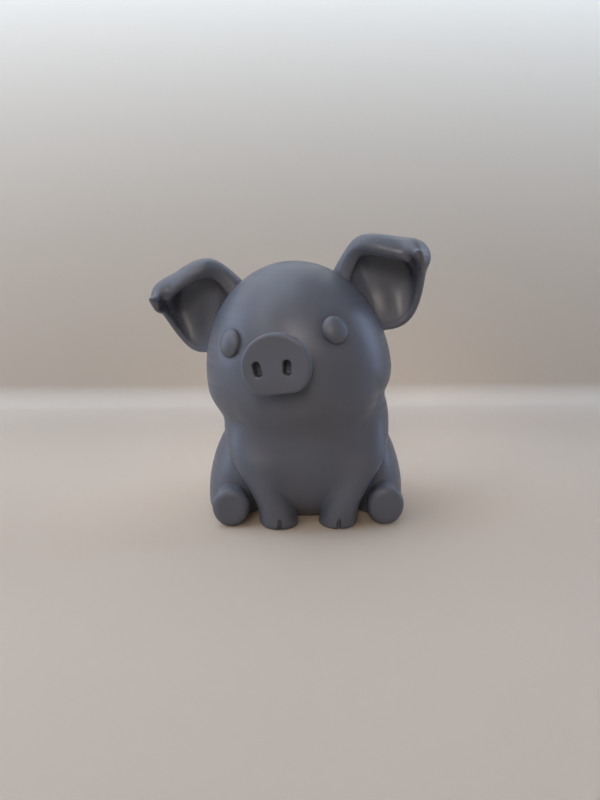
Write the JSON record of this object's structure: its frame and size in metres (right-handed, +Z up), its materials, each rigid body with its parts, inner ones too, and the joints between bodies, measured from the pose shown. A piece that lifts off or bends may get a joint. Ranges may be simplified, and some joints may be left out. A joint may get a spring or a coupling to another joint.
{
  "type": "pig figurine",
  "caption": "Small sitting piglet figurine with an egg-shaped head, folded ears, a flat snout and stub feet, resting on a flat base.",
  "frame": {"origin": "point of the torso's flat underside in the pig's middle plane, 5.7 mm in front of the underside's centre and about below the middle of the head", "axes": "+Z up, -Y is the way the body faces, +X is the pig's own left side"},
  "size_m": [0.0584, 0.0494, 0.0592],
  "materials": {
    "printed_plastic": "satin blue-grey plastic with fine level layer lines"
  },
  "bodies": {
    "root": {"torso": "printed_plastic", "left_foreleg": "printed_plastic", "right_foreleg": "printed_plastic", "left_haunch": "printed_plastic", "right_haunch": "printed_plastic", "left_hind_foot": "printed_plastic", "right_hind_foot": "printed_plastic", "tail": "printed_plastic", "head": "printed_plastic", "left_ear": "printed_plastic", "right_ear": "printed_plastic", "left_eye": "printed_plastic", "right_eye": "printed_plastic", "snout": "printed_plastic"}
  },
  "joints": []
}
